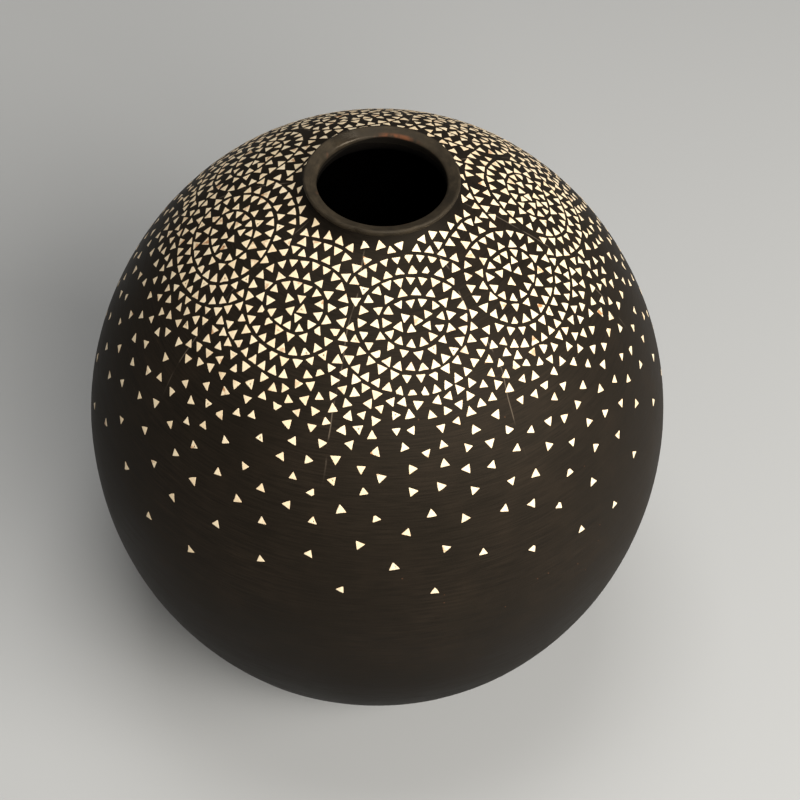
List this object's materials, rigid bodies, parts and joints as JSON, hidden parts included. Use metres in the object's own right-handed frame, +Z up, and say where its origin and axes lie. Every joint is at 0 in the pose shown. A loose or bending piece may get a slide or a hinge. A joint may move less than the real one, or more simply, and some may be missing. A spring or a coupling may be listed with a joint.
{
  "type": "black clay pot with inlaid chips",
  "caption": "Near-round black clay pot with a small flared mouth and cream three-cornered chips set flush in rosettes round the neck.",
  "frame": {"origin": "middle of the foot, on the surface the pot stands on", "axes": "+Z up along the pot's axis, -Y towards the viewer of the picture"},
  "size_m": [0.1796, 0.1796, 0.1907],
  "materials": {
    "clay": "matt",
    "lip_clay": "satin",
    "black_skin": "satin",
    "cream_chip": "satin"
  },
  "bodies": {
    "root": {"clay_body": "clay", "rim_coil": "lip_clay", "crown_skin": "black_skin", "belly_skin": "black_skin", "rosette_1": "cream_chip", "rosette_2": "cream_chip", "rosette_3": "cream_chip", "rosette_4": "cream_chip", "rosette_5": "cream_chip", "rosette_6": "cream_chip", "rosette_7": "cream_chip", "rosette_8": "cream_chip", "neck_chips": "cream_chip", "shoulder_chips": "cream_chip", "fade_chips": "cream_chip", "stray_chips": "cream_chip"}
  },
  "joints": []
}
